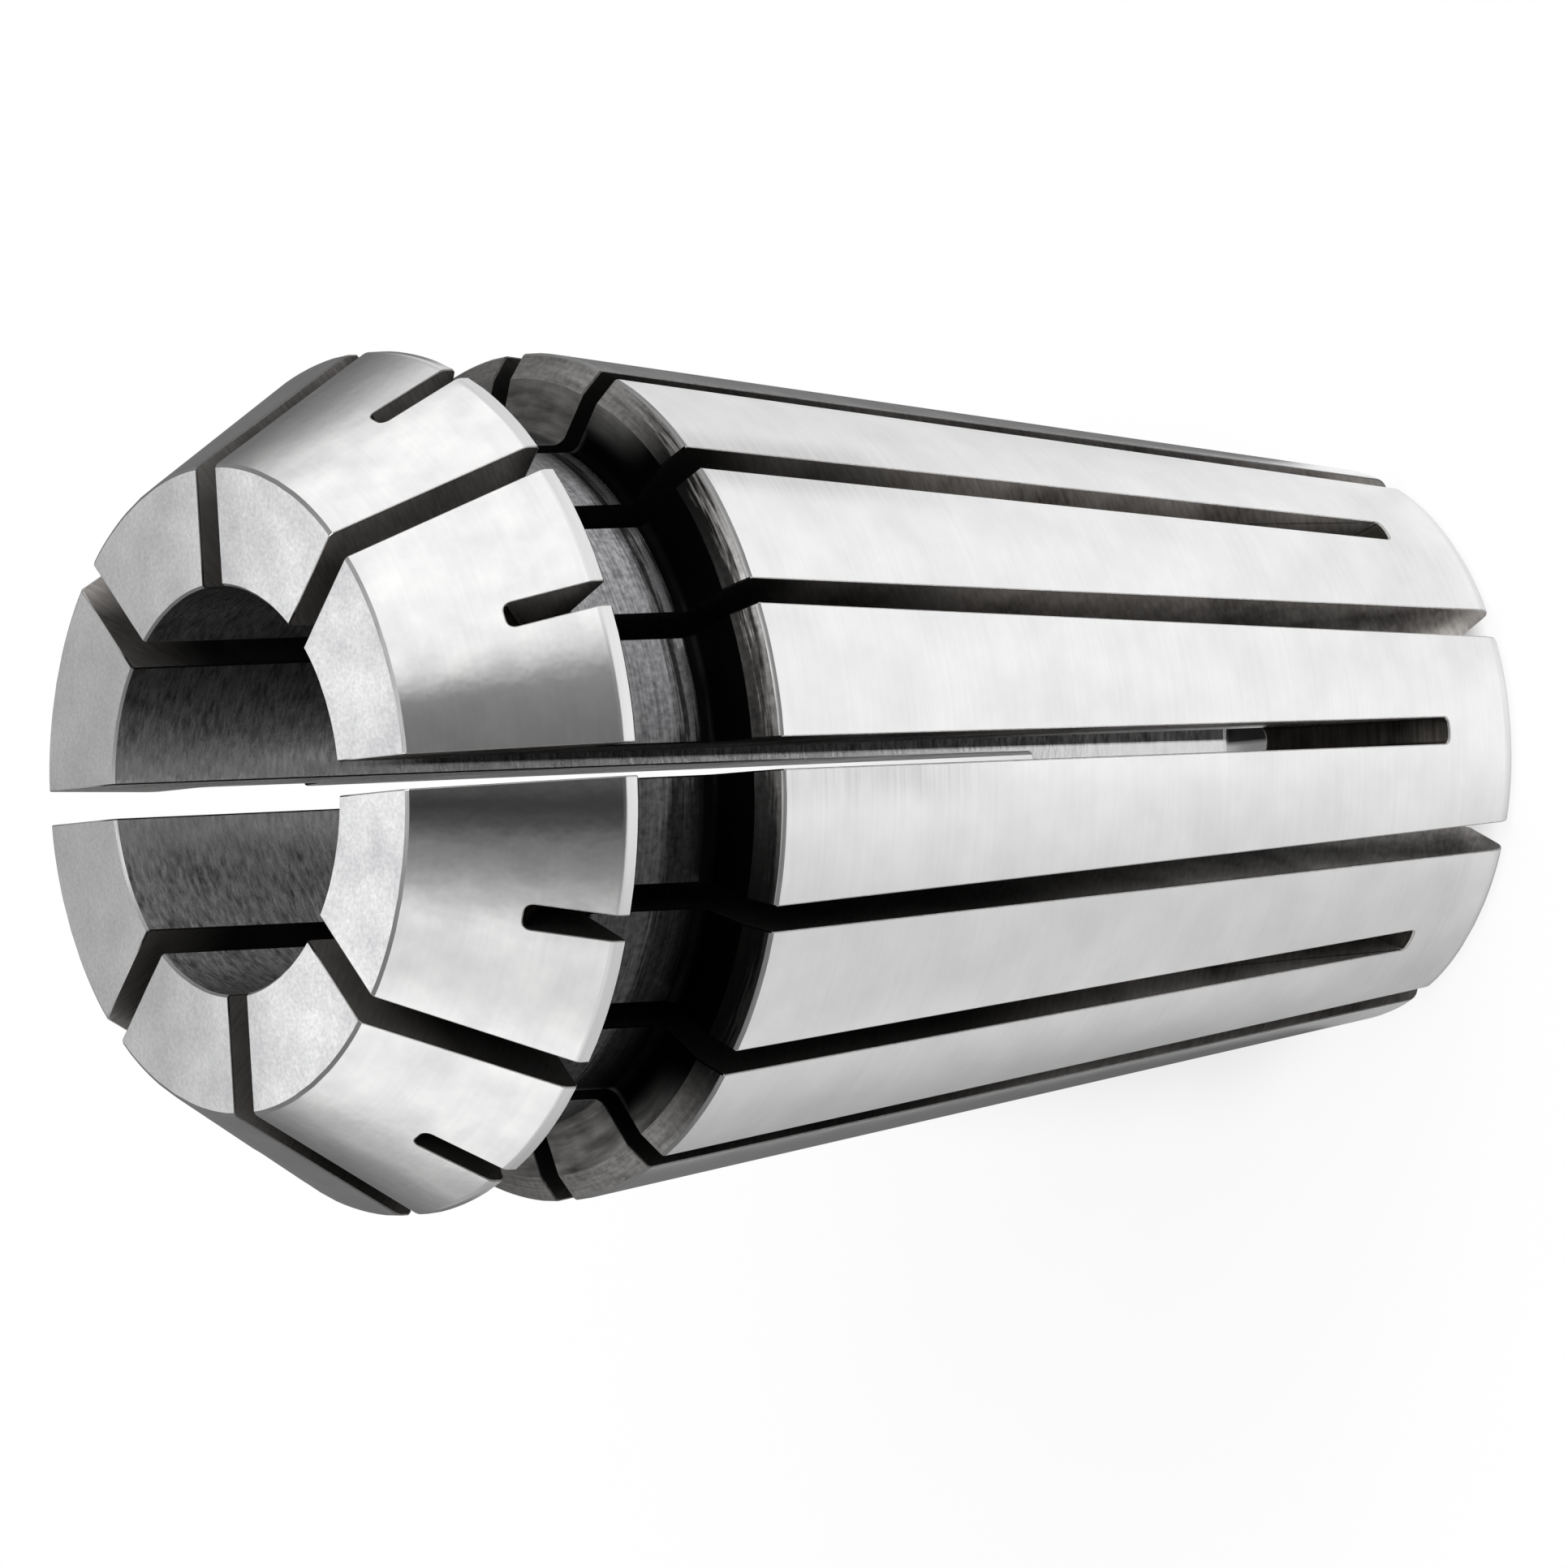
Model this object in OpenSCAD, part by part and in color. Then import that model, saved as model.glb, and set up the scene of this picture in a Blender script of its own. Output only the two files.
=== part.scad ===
// Spring collet of the 8 degree pattern, turned, sawn and ground from one piece of steel.
// The origin is the middle of the rear face. +Z runs along the axis to the nut face,
// and the first front slot lies on +X.

/* [Body] */
// Length over both end faces
collet_l = 27.5; // [26:0.5:32]
// Largest diameter, over the narrow land between nose cone and groove
collet_d = 17; // [15.6:0.1:18]
// Diameter of the tool shank that the collet grips
bore_d = 8; // [3:0.5:8.5]

/* [Taper] */
// How far the front of the ground taper lies below the largest diameter
taper_step = 0.1; // [0:0.05:0.5]
// Half angle of the taper
taper_angle = 8; // [6:0.5:9]
// Radius of its rear edge
rear_edge_r = 0.4; // [0.1:0.1:0.8]
// Width of the chamfer on its front edge, measured across the axis
taper_edge = 0.5; // [0.1:0.1:0.7]
// Slope of that chamfer, measured from square to the axis
taper_edge_slope = 36; // [20:1:60]

/* [Nose] */
// Half angle of the nose cone, which the nut presses on
nose_angle = 30; // [25:1:35]
// Distance from the nut face to the groove
nose_l = 4; // [3.4:0.1:4.8]
// Length of the land
land_l = 0.3; // [0.1:0.1:0.6]
// Edge break around the nut face
face_edge = 0.05; // [0.05:0.05:0.3]
// Edge break where the land meets the groove
land_edge = 0.06; // [0.02:0.02:0.12]

/* [Groove] */
// Depth of the extraction groove below the largest diameter
groove_depth = 1.6; // [1.1:0.1:2]
// Length of the groove at its bottom
groove_l = 2.8; // [2:0.1:3.4]
// Slope of the rear wall, measured from square to the axis
groove_slope = 17; // [5:1:30]
// Radius in the corners at the bottom
groove_fillet = 0.25; // [0.1:0.05:0.4]

/* [Bore] */
// Chamfer at its front
bore_front_edge = 0.05; // [0.05:0.05:0.4]
// Chamfer at its rear
bore_rear_edge = 0.3; // [0.1:0.1:0.6]

/* [Slots] */
// Number of slots sawn from each end
slots = 8; // [4:1:8]
// Width of the front slots at the nut face
front_slot_open_w = 0.66; // [0.4:0.02:0.9]
// Width of the front slots at their blind end
front_slot_blind_w = 0.52; // [0.4:0.02:0.9]
// Distance from the rear face to the blind end of the front slots
front_slot_end = 1.9; // [1.2:0.1:4]
// Width of the rear slots at the rear face
rear_slot_open_w = 0.58; // [0.4:0.02:0.9]
// Width of the rear slots at their blind end
rear_slot_blind_w = 0.5; // [0.4:0.02:0.9]
// Distance from the nut face to the blind end of the rear slots
rear_slot_end = 2.1; // [1.2:0.1:2.8]
// Corner radius of the blind ends
slot_corner_r = 0.12; // [0.06:0.02:0.2]

/* [Saw] */
// Diameter of the slitting saw, which leaves the curved floor of each blind end
saw_d = 25; // [20:1:40]
// How far the saw cuts into the open space of the bore
saw_overcut = 0.85; // [0.3:0.05:1.2]

/* [Hidden] */

$fn = 144;
arc_steps = 4;
past = 1;
steel = [0.77, 0.78, 0.79];

bore_r = bore_d / 2;
nose_r = collet_d / 2;
taper_r = nose_r - taper_step;
groove_r = nose_r - groove_depth;
reach = nose_r + past;

// Heights above the rear face
land_z = collet_l - nose_l + land_l;
groove_top_z = collet_l - nose_l;
groove_bottom_z = groove_top_z - groove_l;
taper_edge_r = taper_r - taper_edge;
taper_edge_z = groove_bottom_z - (taper_edge_r - groove_r) * tan(groove_slope);
taper_top_z = taper_edge_z - taper_edge * tan(taper_edge_slope);

// Radius of the nut face before its edge is broken, and of the taper at a height
face_r = nose_r - (nose_l - land_l) * tan(nose_angle);
function nose_r_at(depth) = face_r + depth * tan(nose_angle);
function taper_r_at(z) = taper_r - (taper_top_z - z) * tan(taper_angle);

// Points of an arc around a centre, from one angle to another
function arc(centre, r, from, to) =
    [for (i = [0:arc_steps]) centre + r * [cos(from + (to - from) * i / arc_steps),
                                           sin(from + (to - from) * i / arc_steps)]];

// The rear edge touches the rear face and the taper
rear_arc_centre = [taper_r_at(rear_edge_r) - rear_edge_r / cos(taper_angle), rear_edge_r];

// The fillets touch the bottom of the groove and its walls
top_fillet_centre = [groove_r + groove_fillet, groove_top_z - groove_fillet];
bottom_fillet_centre = [groove_r + groove_fillet,
                        groove_bottom_z + groove_fillet * (1 - sin(groove_slope)) / cos(groove_slope)];

// Half section of the turned blank, with the radius along x and the height along y
module half_section()
    polygon(concat(
        [[bore_r + bore_rear_edge, 0]],
        arc(rear_arc_centre, rear_edge_r, -90, -taper_angle),
        [[taper_r, taper_top_z], [taper_edge_r, taper_edge_z]],
        arc(bottom_fillet_centre, groove_fillet, 270 - groove_slope, 180),
        arc(top_fillet_centre, groove_fillet, 180, 90),
        [[nose_r - land_edge, groove_top_z],
         [nose_r, groove_top_z + land_edge],
         [nose_r, land_z],
         [nose_r_at(face_edge), collet_l - face_edge],
         [face_r - face_edge, collet_l],
         [bore_r + bore_front_edge, collet_l],
         [bore_r, collet_l - bore_front_edge],
         [bore_r, bore_rear_edge]]));

module blank() rotate_extrude() half_section();

// Path of the saw along +X: open from open_z on, with a floor that curves out to the blind end
module saw_path(open_z, blind_z, blind_r, thickness) {
    saw_r = saw_d / 2;
    saw_x = bore_r - saw_overcut + saw_r;
    run_out = sqrt(saw_r * saw_r - (saw_x - blind_r) * (saw_x - blind_r));
    saw_z = blind_z + sign(open_z - blind_z) * run_out;
    rotate([90, 0, 0])
        linear_extrude(height = thickness, center = true) {
            translate([saw_x, saw_z]) circle(r = saw_r);
            translate([saw_x - saw_r, min(saw_z, open_z)]) square([reach, abs(open_z - saw_z)]);
        }
}

// Slot seen from outside: it widens evenly from its blind end to its open end
module slot_plan(length, open_w, blind_w) {
    half_blind = blind_w / 2;
    half_open = half_blind + (open_w - blind_w) / 2 * (length + past) / length;
    corner_x = half_blind - slot_corner_r;
    polygon([[-half_open, length + past], [-half_blind, slot_corner_r], [-corner_x, 0],
             [corner_x, 0], [half_blind, slot_corner_r], [half_open, length + past]]);
    for (side = [-1, 1])
        translate([side * corner_x, slot_corner_r]) circle(r = slot_corner_r);
}

// One slot cutter on +X. end_z is the face that it starts from, toward is 1 for the nut face
module slot(end_z, toward, blind_z, blind_r, open_w, blind_w) {
    wide = max(open_w, blind_w) + past;
    intersection() {
        saw_path(end_z + toward * past, blind_z, blind_r, wide);
        translate([0, 0, blind_z])
            scale([1, 1, toward])
                rotate([90, 0, 90])
                    linear_extrude(height = reach)
                        slot_plan(abs(end_z - blind_z), open_w, blind_w);
    }
}

module front_slots()
    for (i = [0:slots - 1])
        rotate(i * 360 / slots)
            slot(collet_l, 1, front_slot_end, taper_r_at(front_slot_end),
                 front_slot_open_w, front_slot_blind_w);

module rear_slots()
    for (i = [0:slots - 1])
        rotate((i + 0.5) * 360 / slots)
            slot(0, -1, collet_l - rear_slot_end, nose_r_at(rear_slot_end),
                 rear_slot_open_w, rear_slot_blind_w);

module collet()
    color(steel)
        difference() {
            blank();
            front_slots();
            rear_slots();
        }

collet();
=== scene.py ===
"""Spring collet with eight front and eight rear saw slots, dressed and lit for its portrait.

The collet is turned as one blank from its half section, sawn from both ends and then
deburred. Sizes are in millimetres until the finished mesh is brought to metres.
"""

import logging
import math
from collections.abc import Callable
from dataclasses import dataclass, field
from enum import Enum

import bmesh
import bpy
from mathutils import Matrix, Vector


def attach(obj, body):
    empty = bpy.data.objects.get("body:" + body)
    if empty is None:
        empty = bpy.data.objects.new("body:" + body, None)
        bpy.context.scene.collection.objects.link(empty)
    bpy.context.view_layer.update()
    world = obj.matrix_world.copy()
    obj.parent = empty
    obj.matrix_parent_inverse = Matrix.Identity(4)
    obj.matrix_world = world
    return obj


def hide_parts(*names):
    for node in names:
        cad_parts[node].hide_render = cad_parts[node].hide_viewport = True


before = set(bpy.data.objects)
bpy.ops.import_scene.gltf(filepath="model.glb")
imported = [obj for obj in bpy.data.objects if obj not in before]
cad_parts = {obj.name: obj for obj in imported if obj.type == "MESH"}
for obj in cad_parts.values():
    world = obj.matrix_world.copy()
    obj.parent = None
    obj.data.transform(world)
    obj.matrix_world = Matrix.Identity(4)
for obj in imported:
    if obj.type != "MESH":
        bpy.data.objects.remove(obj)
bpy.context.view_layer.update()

LOG = logging.getLogger("collet")

MM = 0.001
TO_MM = 1000.0

# Vertices this close, in millimetres, become one where the turned ring closes, and after sawing
SEAM_GAP = 1e-3
WELD_GAP = 1e-4

# Decimals by which the corners of a cutter are found again after its end is extruded
DIGITS = 5

Point = tuple[float, float]
Triple = tuple[float, float, float]
Levels = tuple[Point, ...]


class Surface(Enum):
    """The machined surfaces, in the order of the collet's material slots."""

    TAPER = 0
    NOSE = 1
    NUT_FACE = 2
    REAR_FACE = 3
    GROOVE = 4
    SHOULDER = 5
    BORE = 6
    EDGE = 7
    SLOT = 8
    DEBURRED = 9
    GROOVE_WALL = 10
    SLOT_FLOOR = 11
    CHAMFER = 12


SAWN = (Surface.SLOT.value, Surface.SLOT_FLOOR.value)
DEBURRED = Surface.DEBURRED.value


@dataclass(frozen=True)
class Corner:
    """One corner of the half section, and the surface of the line that starts there.

    Attributes:
        r: Distance from the axis.
        z: Height above the rear face.
        surface: Finish of the line from this corner to the next.
        flows: Whether the lines on both sides run into each other without an edge.
        lean: How far that line is dished outwards, in degrees, which only its shading shows.
    """

    r: float
    z: float
    surface: Surface
    flows: bool = False
    lean: float = 0.0


@dataclass(frozen=True)
class TurnedBlank:
    """The turned blank: half section and spin."""

    length: float = 27.5
    largest_r: float = 8.5
    bore_r: float = 4.0
    taper_step: float = 0.1
    taper_angle: float = 8.0
    rear_edge_r: float = 0.4
    taper_edge: float = 0.5
    taper_edge_slope: float = 36.0
    taper_blend_r: float = 0.1
    nose_angle: float = 30.0
    nose_length: float = 4.0
    land_length: float = 0.3
    face_edge: float = 0.05
    face_lean: float = 8.0
    land_edge: float = 0.06
    land_blend_r: float = 0.3
    groove_depth: float = 1.6
    groove_length: float = 2.8
    groove_slope: float = 17.0
    groove_fillet: float = 0.25
    bore_front_edge: float = 0.05
    bore_rear_edge: float = 0.3
    arc_steps: int = 6
    slot_pitches: int = 16
    beside_slot: float = 5.625
    lines_between: int = 6

    @property
    def taper_r(self) -> float:
        """Radius of the taper at its front."""
        return self.largest_r - self.taper_step

    @property
    def groove_r(self) -> float:
        """Radius at the bottom of the groove."""
        return self.largest_r - self.groove_depth

    @property
    def groove_top(self) -> float:
        """Height of the groove's front wall."""
        return self.length - self.nose_length

    @property
    def taper_top(self) -> float:
        """Height of the front edge of the taper."""
        run_in = (self.taper_r - self.taper_edge - self.groove_r) * tangent(self.groove_slope)
        chamfer = self.taper_edge * tangent(self.taper_edge_slope)
        return self.groove_top - self.groove_length - run_in - chamfer

    @property
    def face_r(self) -> float:
        """Radius of the nut face before its edge is broken."""
        return self.largest_r - self.nose_rise

    @property
    def nose_rise(self) -> float:
        """How far the nose cone widens over its length."""
        return (self.nose_length - self.land_length) * tangent(self.nose_angle)

    def nose_r_at(self, depth: float) -> float:
        """Radius of the nose cone at a depth below the nut face."""
        return self.largest_r - self.nose_rise + depth * tangent(self.nose_angle)

    def taper_r_at(self, z: float) -> float:
        """Radius of the ground taper at a height."""
        return self.taper_r - (self.taper_top - z) * tangent(self.taper_angle)

    def rounded(
        self, centre: Point, radius: float, turn: Point, surface: Surface, after: Surface
    ) -> list[Corner]:
        """Corners along an arc of the half section.

        Args:
            centre: Centre of the arc.
            radius: Radius of the arc.
            turn: Angles of its first and its last point, in degrees.
            surface: Finish of the arc.
            after: Finish of the line that follows it.

        Returns:
            The corners, each of which flows into its neighbours.
        """
        start, end = turn
        corners = []
        for i in range(self.arc_steps + 1):
            angle = start + (end - start) * i / self.arc_steps
            r, z = centre[0] + radius * cosine(angle), centre[1] + radius * sine(angle)
            corners.append(Corner(r, z, after if i == self.arc_steps else surface, flows=True))
        return corners

    def blended(
        self, corner: Point, radius: float, turn: Point, surface: Surface, after: Surface
    ) -> list[Corner]:
        """Corners along a small arc that replaces one corner of the half section.

        Args:
            corner: The corner.
            radius: Radius of the arc.
            turn: Angles of the normals before and after the corner, in degrees.
            surface: Finish of the arc.
            after: Finish of the line that follows it.

        Returns:
            The corners of the arc.
        """
        start, end = turn
        share = radius / (1 + cosine(end - start))
        r = corner[0] - share * (cosine(start) + cosine(end))
        z = corner[1] - share * (sine(start) + sine(end))
        return self.rounded((r, z), radius, turn, surface, after)

    def half_section(self) -> list[Corner]:
        """The closed half section, from the rear face outwards and back down the bore."""
        length, bore_r, rear_r = self.length, self.bore_r, self.rear_edge_r
        fillet, slope, top = self.groove_fillet, self.groove_slope, self.groove_top
        rear_centre = (self.taper_r_at(rear_r) - rear_r / cosine(self.taper_angle), rear_r)
        rise = fillet * (1 - sine(slope)) / cosine(slope)
        low_centre = (self.groove_r + fillet, top - self.groove_length + rise)
        high_centre = (self.groove_r + fillet, top - fillet)
        chamfer_z = self.taper_top + self.taper_edge * tangent(self.taper_edge_slope)
        return [
            Corner(bore_r + self.bore_rear_edge, 0, Surface.REAR_FACE),
            *self.rounded(
                rear_centre, rear_r, (-90, -self.taper_angle), Surface.EDGE, Surface.TAPER
            ),
            *self.blended(
                (self.taper_r, self.taper_top), self.taper_blend_r,
                (-self.taper_angle, 90 - self.taper_edge_slope), Surface.CHAMFER, Surface.SHOULDER,
            ),
            Corner(self.taper_r - self.taper_edge, chamfer_z, Surface.GROOVE_WALL),
            *self.rounded(
                low_centre, fillet, (270 - slope, 180), Surface.GROOVE_WALL, Surface.GROOVE
            ),
            *self.rounded(high_centre, fillet, (180, 90), Surface.GROOVE, Surface.GROOVE_WALL),
            Corner(self.largest_r - self.land_edge, top, Surface.EDGE),
            Corner(self.largest_r, top + self.land_edge, Surface.EDGE),
            *self.blended(
                (self.largest_r, top + self.land_length), self.land_blend_r,
                (0, self.nose_angle), Surface.EDGE, Surface.NOSE,
            ),
            Corner(self.nose_r_at(self.face_edge), length - self.face_edge, Surface.CHAMFER),
            Corner(self.face_r - self.face_edge, length, Surface.NUT_FACE, lean=self.face_lean),
            Corner(bore_r + self.bore_front_edge, length, Surface.CHAMFER),
            Corner(bore_r, length - self.bore_front_edge, Surface.BORE),
            Corner(bore_r, self.bore_rear_edge, Surface.BORE),
        ]

    def spin(self) -> bmesh.types.BMesh:
        """Spins the half section into a closed ring.

        The lines of the mesh keep clear of the slots' edges, so no slot cuts a line at a
        shallow angle: each slot has one wide strip on each side of its middle.

        Returns:
            The ring, in millimetres, with its surfaces as material indices.
        """
        mesh = bmesh.new()
        corners = self.half_section()
        verts = [mesh.verts.new((c.r, 0.0, c.z)) for c in corners]
        edges = [mesh.edges.new((verts[i - 1], verts[i])) for i in range(len(verts))]
        section = [*verts, *edges]
        beside = (self.beside_slot, 1)
        between = (360.0 / self.slot_pitches - 2 * self.beside_slot, self.lines_between)
        for angle, steps in (beside, between, beside) * self.slot_pitches:
            made = bmesh.ops.spin(
                mesh, geom=section, cent=(0, 0, 0), axis=(0, 0, 1), angle=math.radians(angle),
                steps=steps, use_merge=False,
            )
            section = made["geom_last"]
        bmesh.ops.remove_doubles(mesh, verts=mesh.verts[:], dist=SEAM_GAP)
        bmesh.ops.recalc_face_normals(mesh, faces=mesh.faces[:])
        lines = SectionLines(corners)
        for face in mesh.faces:
            face.material_index = lines.nearest(face.calc_center_median()).surface.value
        return mesh


@dataclass(frozen=True)
class Line:
    """One line of the half section with its normals at both ends."""

    start: Vector
    end: Vector
    surface: Surface
    start_normal: Vector
    end_normal: Vector

    def share(self, place: Vector) -> float:
        """Where the point nearest to a place lies, from 0 at the start to 1 at the end."""
        along = self.end - self.start
        return min(1.0, max(0.0, (place - self.start).dot(along) / along.length_squared))

    def distance(self, place: Vector) -> float:
        """How far a place of the half section lies from the line."""
        return (self.start.lerp(self.end, self.share(place)) - place).length

    def normal(self, point: Vector) -> Vector:
        """The normal of the turned surface at a point of the collet."""
        across = self.start_normal.lerp(self.end_normal, self.share(section_place(point)))
        across.normalize()
        around = point.xy.normalized() * across.x
        return Vector((around.x, around.y, across.y))


class SectionLines:
    """The lines of a half section, to look up surfaces and normals."""

    def __init__(self, corners: list[Corner]) -> None:
        """Args: corners: The closed half section."""
        following = [*corners[1:], corners[0]]
        plain = [Vector((b.z - a.z, a.r - b.r)) for a, b in zip(corners, following)]
        self.lines = []
        for i, (corner, after) in enumerate(zip(corners, following)):
            first = (plain[i] + plain[i - 1] if corner.flows else plain[i]).normalized()
            last = (plain[i] + plain[i + 1 - len(plain)] if after.flows else plain[i]).normalized()
            if corner.lean:
                first = last = Vector((sine(corner.lean), cosine(corner.lean)))
            ends = Vector((corner.r, corner.z)), Vector((after.r, after.z))
            self.lines.append(Line(*ends, corner.surface, first, last))

    def nearest(self, point: Vector) -> Line:
        """The line that a point of the collet lies on."""
        place = section_place(point)
        return min(self.lines, key=lambda line: line.distance(place))


@dataclass(frozen=True)
class SawSlot:
    """One set of slots, sawn from the same end.

    Attributes:
        start_z: Height of the face that the saw enters from.
        blind_z: Height of the blind end on the outside.
        blind_r: Outer radius of the collet at the blind end.
        open_w: Width at the face.
        blind_w: Width at the blind end.
        first_angle: Angle of the first slot, in degrees.
        reach: Outer radius of the cutter.
        past: How far it starts before the face.
        overcut: How far the saw reaches into the bore.
        tip_gap: How far the cutter's inner end stays off the saw's edge.
    """

    start_z: float
    blind_z: float
    blind_r: float
    open_w: float
    blind_w: float
    first_angle: float
    bore_r: float = 4.0
    reach: float = 9.5
    past: float = 1.0
    corner_r: float = 0.12
    corner_steps: int = 5
    saw_r: float = 12.5
    overcut: float = 0.85
    tip_gap: float = 0.02
    floor_steps: int = 14
    count: int = 8

    @property
    def toward(self) -> float:
        """1 where the slot opens towards the nut face, and -1 towards the rear face."""
        return math.copysign(1.0, self.start_z - self.blind_z)

    @property
    def saw_x(self) -> float:
        """Distance of the saw's centre from the axis."""
        return self.bore_r - self.overcut + self.saw_r

    @property
    def saw_z(self) -> float:
        """Height of the saw's centre at the end of its cut."""
        off_centre = self.saw_x - self.blind_r
        return self.blind_z + self.toward * math.sqrt(self.saw_r**2 - off_centre**2)

    def floor_z(self, r: float) -> float:
        """Height of the curved floor at a radius."""
        if r >= self.blind_r:
            return self.blind_z
        return self.saw_z - self.toward * math.sqrt(max(0.0, self.saw_r**2 - (self.saw_x - r) ** 2))

    def half_width(self, z: float) -> float:
        """Half the width of the slot at a height."""
        share = abs(z - self.blind_z) / abs(self.start_z - self.blind_z)
        return (self.blind_w + (self.open_w - self.blind_w) * share) / 2

    def outline(self, r: float) -> list[Point]:
        """The slot as seen from outside, as points across and along the axis.

        Args:
            r: Radius at which the outline is taken.

        Returns:
            The points, from the open end round the blind end and back.
        """
        open_z = self.start_z + self.toward * self.past
        corner_z = self.floor_z(r) + self.toward * self.corner_r
        side = self.half_width(corner_z)
        half = [(self.half_width(open_z), open_z)]
        for i in range(self.corner_steps + 1):
            angle = 90.0 * i / self.corner_steps
            across = side - self.corner_r + self.corner_r * cosine(angle)
            half.append((across, corner_z - self.toward * self.corner_r * sine(angle)))
        return [*((-across, z) for across, z in half), *reversed(half)]

    def stations(self) -> list[float]:
        """Radii at which the cutter's outline is set, from the outside inwards."""
        depth = self.bore_r - self.overcut + self.tip_gap - self.blind_r
        steps = self.floor_steps
        return [self.reach, *(self.blind_r + depth * i / steps for i in range(steps + 1))]

    def cut_into(self, mesh: bmesh.types.BMesh) -> None:
        """Adds this set's cutters to a mesh.

        Args:
            mesh: The mesh that collects all cutters, in millimetres.
        """
        radii = self.stations()
        verts = [mesh.verts.new((radii[0], across, z)) for across, z in self.outline(radii[0])]
        face = mesh.faces.new(verts)
        for i, r in enumerate(radii[1:]):
            places = {v.co.to_tuple(DIGITS): k for k, v in enumerate(verts)}
            made = bmesh.ops.extrude_face_region(mesh, geom=[face])["geom"]
            if i > 0:
                bmesh.ops.delete(mesh, geom=[face], context="FACES_ONLY")
            face = next(g for g in made if isinstance(g, bmesh.types.BMFace))
            verts = sorted(face.verts, key=lambda v: places[v.co.to_tuple(DIGITS)])
            for vert, (across, z) in zip(verts, self.outline(r)):
                vert.co = (r, across, z)
        solid = self.connected(face)
        turn = Matrix.Rotation(math.radians(self.first_angle), 3, "Z")
        corners = list({v for f in solid for v in f.verts})
        bmesh.ops.rotate(mesh, verts=corners, cent=(0, 0, 0), matrix=turn)
        copies = self.count - 1
        bmesh.ops.spin(
            mesh, geom=[*corners, *{e for f in solid for e in f.edges}, *solid], cent=(0, 0, 0),
            axis=(0, 0, 1), angle=math.tau * copies / self.count, steps=copies, use_duplicate=True,
        )

    @staticmethod
    def connected(face: bmesh.types.BMFace) -> list[bmesh.types.BMFace]:
        """All faces of the solid that a face belongs to."""
        found, waiting = {face}, [face]
        while waiting:
            for edge in waiting.pop().edges:
                for other in edge.link_faces:
                    if other not in found:
                        found.add(other)
                        waiting.append(other)
        return list(found)


def sine(degrees: float) -> float:
    """Sine of an angle in degrees."""
    return math.sin(math.radians(degrees))


def cosine(degrees: float) -> float:
    """Cosine of an angle in degrees."""
    return math.cos(math.radians(degrees))


def tangent(degrees: float) -> float:
    """Tangent of an angle in degrees."""
    return math.tan(math.radians(degrees))


def section_place(point: Vector) -> Vector:
    """Place of a point in the half section: its distance from the axis and its height."""
    return Vector((math.hypot(point.x, point.y), point.z))


class Signal:
    """A value in a node tree that is reckoned with like a number, where | is the larger of two."""

    def __init__(self, sheet: "Sheet", socket: bpy.types.NodeSocket) -> None:
        """Args: sheet: The tree that the value lies in. socket: The output that gives it."""
        self.sheet = sheet
        self.socket = socket

    def __add__(self, other: object) -> "Signal":
        """The sum of both."""
        return self.sheet.math("ADD", self, other)

    def __sub__(self, other: object) -> "Signal":
        """The difference of both."""
        return self.sheet.math("SUBTRACT", self, other)

    def __rsub__(self, other: object) -> "Signal":
        """The difference of both, the other way round."""
        return self.sheet.math("SUBTRACT", other, self)

    def __mul__(self, other: object) -> "Signal":
        """The product of both."""
        return self.sheet.math("MULTIPLY", self, other)

    def __truediv__(self, other: object) -> "Signal":
        """The quotient of both."""
        return self.sheet.math("DIVIDE", self, other)

    def __rtruediv__(self, other: object) -> "Signal":
        """The quotient of both, the other way round."""
        return self.sheet.math("DIVIDE", other, self)

    def __or__(self, other: object) -> "Signal":
        """The larger of both."""
        return self.sheet.math("MAXIMUM", self, other)

    def __abs__(self) -> "Signal":
        """The value without its sign."""
        return self.sheet.math("ABSOLUTE", self)

    def spread(
        self, low: object, high: object, to_low: object = 0.0, to_high: object = 1.0,
        kind: str = "LINEAR",
    ) -> "Signal":
        """Maps the value from one range to another, clamped.

        Args:
            low: Lower end of the range that it comes from.
            high: Upper end of that range.
            to_low: What the lower end becomes.
            to_high: What the upper end becomes.
            kind: How the values between follow.

        Returns:
            The mapped value.
        """
        ends = (low, high, to_low, to_high)
        return self.sheet.signal("ShaderNodeMapRange", self, *ends, interpolation_type=kind)

    def ease(
        self, low: object, high: object, to_low: object = 0.0, to_high: object = 1.0
    ) -> "Signal":
        """Maps the value like spread, but with eased ends."""
        return self.spread(low, high, to_low, to_high, kind="SMOOTHSTEP")

    def between(self, first: object, second: object) -> "Signal":
        """What lies between two others, by the share that the value gives."""
        return self.spread(0.0, 1.0, first, second)

    def stops(self, levels: Levels) -> "Signal":
        """Looks the value up among plain stops.

        Args:
            levels: Pairs of a place from -1 to 1 and its level.

        Returns:
            The level.
        """
        made = self.sheet.node("ShaderNodeValToRGB", self.spread(-1.0, 1.0))
        ramp = made.color_ramp.elements
        while len(ramp) < len(levels):
            ramp.new(0.5)
        for stop, (place, _) in zip(ramp, levels):
            stop.position = (place + 1.0) / 2.0
        for stop, (_, level) in zip(ramp, levels):
            stop.color = (level, level, level, 1.0)
        return Signal(self.sheet, made.outputs["Color"])


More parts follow.
